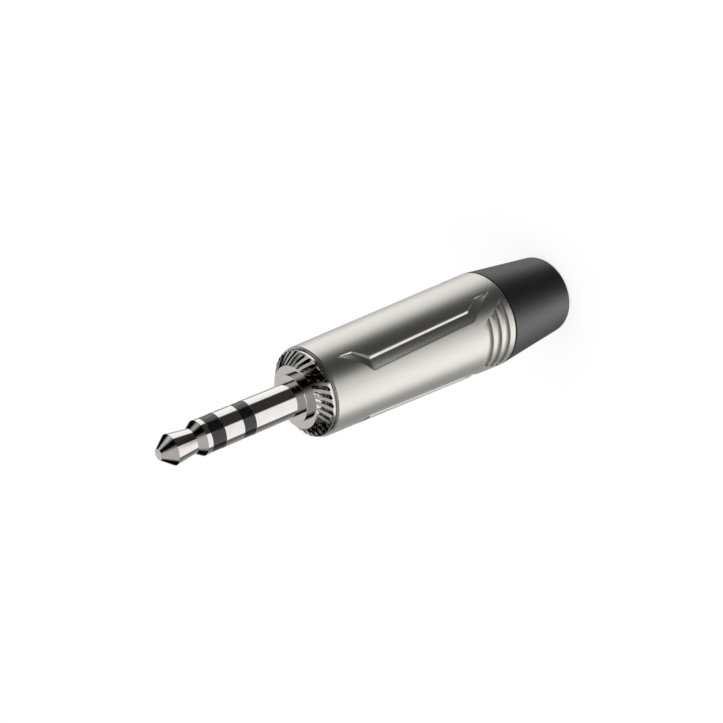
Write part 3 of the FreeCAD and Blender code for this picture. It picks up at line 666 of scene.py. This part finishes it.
def make_floor():
    """Plain white sheet under the plug. Seen directly it is white, and it keeps the plug's
    soft shadow."""
    side = np.linspace(-FLOOR_HALF, FLOOR_HALF, 9)
    x, y = np.meshgrid(side, side)
    mesh = bpy.data.meshes.new("floor")
    count = len(side)
    r, c = np.meshgrid(np.arange(count - 1), np.arange(count - 1), indexing="ij")
    quads = np.stack([r * count + c, r * count + c + 1, (r + 1) * count + c + 1,
                      (r + 1) * count + c], axis=-1).reshape(-1, 4)
    points = np.stack([x, y, 0 * x - FLOOR_DROP], axis=-1).reshape(-1, 3) * MM
    mesh.from_pydata(points.tolist(), [], quads.tolist())
    sheet = bpy.data.objects.new("floor", mesh)
    bpy.context.scene.collection.objects.link(sheet)
    made = bpy.data.materials.new("white_paper")
    made.use_nodes = True
    tree = made.node_tree
    tree.nodes.clear()
    path = add(tree, "ShaderNodeLightPath").outputs
    seen = add(tree, "ShaderNodeMath", {"operation": "MAXIMUM"},
               {0: path["Is Camera Ray"], 1: path["Is Glossy Ray"]}).outputs[0]
    seen = add(tree, "ShaderNodeMath", {"operation": "MAXIMUM"},
               {0: seen, 1: path["Is Transmission Ray"]}).outputs[0]
    paper = add(tree, "ShaderNodeBsdfDiffuse", None, {"Color": colour("#EDEDED")}).outputs[0]
    white = add(tree, "ShaderNodeEmission", None,
                {"Color": colour("#FFFFFF"), "Strength": FLOOR_GLOW})
    share = add(tree, "ShaderNodeMath", {"operation": "MULTIPLY"},
                {0: seen, 1: FLOOR_GLOW_SHARE}).outputs[0]
    both = add(tree, "ShaderNodeMixShader", None, {0: share, 1: paper, 2: white.outputs[0]})
    add(tree, "ShaderNodeOutputMaterial", None, {"Surface": both.outputs[0]})
    mesh.materials.append(made)
    sheet.visible_glossy = False


def make_world():
    """White tent with black flags, as strength by azimuth in five rings of height: the table
    far below, the wall that the upright faces mirror, the wall's soft upper edge, the
    horizon, which is black but for one stretch at the back, and the weaker top lights. What
    isn't a mirror image is lit by plain even white."""
    world = bpy.data.worlds.new("studio_tent")
    bpy.context.scene.world = world
    world.use_nodes = True
    tree = world.node_tree
    tree.nodes.clear()
    way = add(tree, "ShaderNodeTexCoord").outputs["Generated"]
    x, y, z = add(tree, "ShaderNodeSeparateXYZ", None, {0: way}).outputs
    azimuth = add(tree, "ShaderNodeMath", {"operation": "ARCTAN2"}, {0: y, 1: x}).outputs[0]
    around = add(tree, "ShaderNodeMapRange", None,
                 {"Value": azimuth, "From Min": -math.pi, "From Max": math.pi}).outputs[0]

    def by_azimuth(stops):
        """Ramp through (azimuth in degrees, strength) stops, as a share of the top strength."""
        return ramp(tree, around, [((deg + 180) / 360, [level / TENT_TOP] * 3 + [1])
                                   for deg, level in stops])

    wall = by_azimuth([
        (-180, 0.48), (-158, 0.62), (-138, 0.78), (-115, 0.52), (-90, 0.30), (-66, 0.165),
        (-57, 0.17), (-50, 1.33), (-40, 1.27), (-15, 1.22), (30, 1.18), (37, 0.04), (102, 0.04),
        (111, 1.22), (140, 1.30), (158, 1.40), (166, 1.0), (172, 0.55), (180, 0.48)])
    table = by_azimuth([
        (-180, 0.30), (-150, 0.25), (-110, 0.20), (-85, 0.40), (-62, 0.75), (-45, 1.30),
        (-30, 1.50), (-14, 1.40), (0, 0.60), (14, 0.06), (36, 0.0), (106, 0.0), (120, 0.40),
        (136, 0.78), (150, 0.78), (165, 0.45), (180, 0.30)])
    edge = by_azimuth([
        (-180, 0.50), (-150, 0.55), (-120, 0.50), (-90, 0.45), (-62, 0.75), (-45, 1.30),
        (-30, 1.45), (-14, 1.35), (0, 0.40), (14, 0.0), (36, 0.0), (108, 0.0), (122, 0.24),
        (138, 0.36), (150, 0.42), (165, 0.46), (180, 0.50)])
    horizon = by_azimuth([
        (-180, 0.0), (-168, 0.0), (-148, 0.50), (-130, 0.40), (-118, 0.0), (180, 0.0)])
    high = by_azimuth([
        (-180, 0.70), (-125, 0.70), (-105, 0.0), (-82, 0.0), (-60, 0.56), (10, 0.56), (25, 0.53),
        (35, 0.36), (44, 0.17), (53, 0.05), (64, 0.0), (96, 0.0), (105, 0.15), (112, 0.38),
        (120, 0.58), (128, 0.66), (138, 0.63), (144, 0.42), (151, 0.16), (158, 0.0), (168, 0.0),
        (180, 0.70)])

    def step(start, end):
        """Smooth step of the height of the direction, from 0 at the start to 1 at the end."""
        return add(tree, "ShaderNodeMapRange", {"interpolation_type": "SMOOTHSTEP"},
                   {"Value": z, "From Min": start, "From Max": end}).outputs[0]

    def blend(share, first, second):
        """Mix of two strengths by a share."""
        return add(tree, "ShaderNodeMix", {"data_type": "FLOAT"},
                   {0: share, 2: first, 3: second}).outputs[0]

    low = blend(step(-0.39, -0.33), blend(step(-0.66, -0.71), wall, table), edge)
    mirrored = blend(step(0.18, 0.46), blend(step(-0.10, -0.24), horizon, low), high)
    path = add(tree, "ShaderNodeLightPath").outputs
    tent = add(tree, "ShaderNodeMath", {"operation": "MULTIPLY"},
               {0: mirrored, 1: TENT_TOP}).outputs[0]
    lit = blend(path["Is Glossy Ray"], PLAIN_LIGHT, tent)
    level = blend(path["Is Camera Ray"], lit, 1.0)
    sky = add(tree, "ShaderNodeBackground", None, {"Color": colour("#FFFFFF"), "Strength": level})
    add(tree, "ShaderNodeOutputWorld", None, {"Surface": sky.outputs[0]})


def make_lamp(name, place, size, power):
    """Square soft lamp that looks at the middle of the plug."""
    lamp = bpy.data.lights.new(name, "AREA")
    lamp.size = size * MM
    lamp.energy = power
    held = bpy.data.objects.new(name, lamp)
    bpy.context.scene.collection.objects.link(held)
    spot = np.array(place, float)
    back = (spot - PLUG_MIDDLE) / np.linalg.norm(spot - PLUG_MIDDLE)
    right = np.cross((0, 0, 1), back)
    right /= np.linalg.norm(right)
    up = np.cross(back, right)
    held.matrix_world = Matrix([list(row) + [0] for row in np.stack([right, up, back], axis=1)] +
                               [[0, 0, 0, 1]])
    held.location = spot * MM
    held.visible_glossy = False


def make_camera():
    """Camera at the viewing angle, rolled so that the pin points down and to the left."""
    data = bpy.data.cameras.new("camera")
    data.lens = LENS
    data.sensor_width = SENSOR
    data.shift_x, data.shift_y = -0.5 / FRAME_PIXELS, 0.5 / FRAME_PIXELS
    data.clip_start, data.clip_end = 0.005, 20.0
    held = bpy.data.objects.new("camera", data)
    bpy.context.scene.collection.objects.link(held)
    right = (0.66957, -0.00364, -0.74274)
    up = (-0.33711, 0.88957, -0.30826)
    back = (0.66184, 0.45679, 0.59440)
    spot = (82.913, 58.056, 102.100)
    held.matrix_world = Matrix([[right[i], up[i], back[i], spot[i] * MM] for i in range(3)] +
                               [[0, 0, 0, 1]])
    bpy.context.scene.camera = held


make_floor()
make_world()
make_lamp("key", (420, -120, 460), 320, 0.55)
make_lamp("fill", (-160, 420, 380), 320, 0.30)
make_camera()
bpy.context.scene.view_settings.view_transform = "Standard"
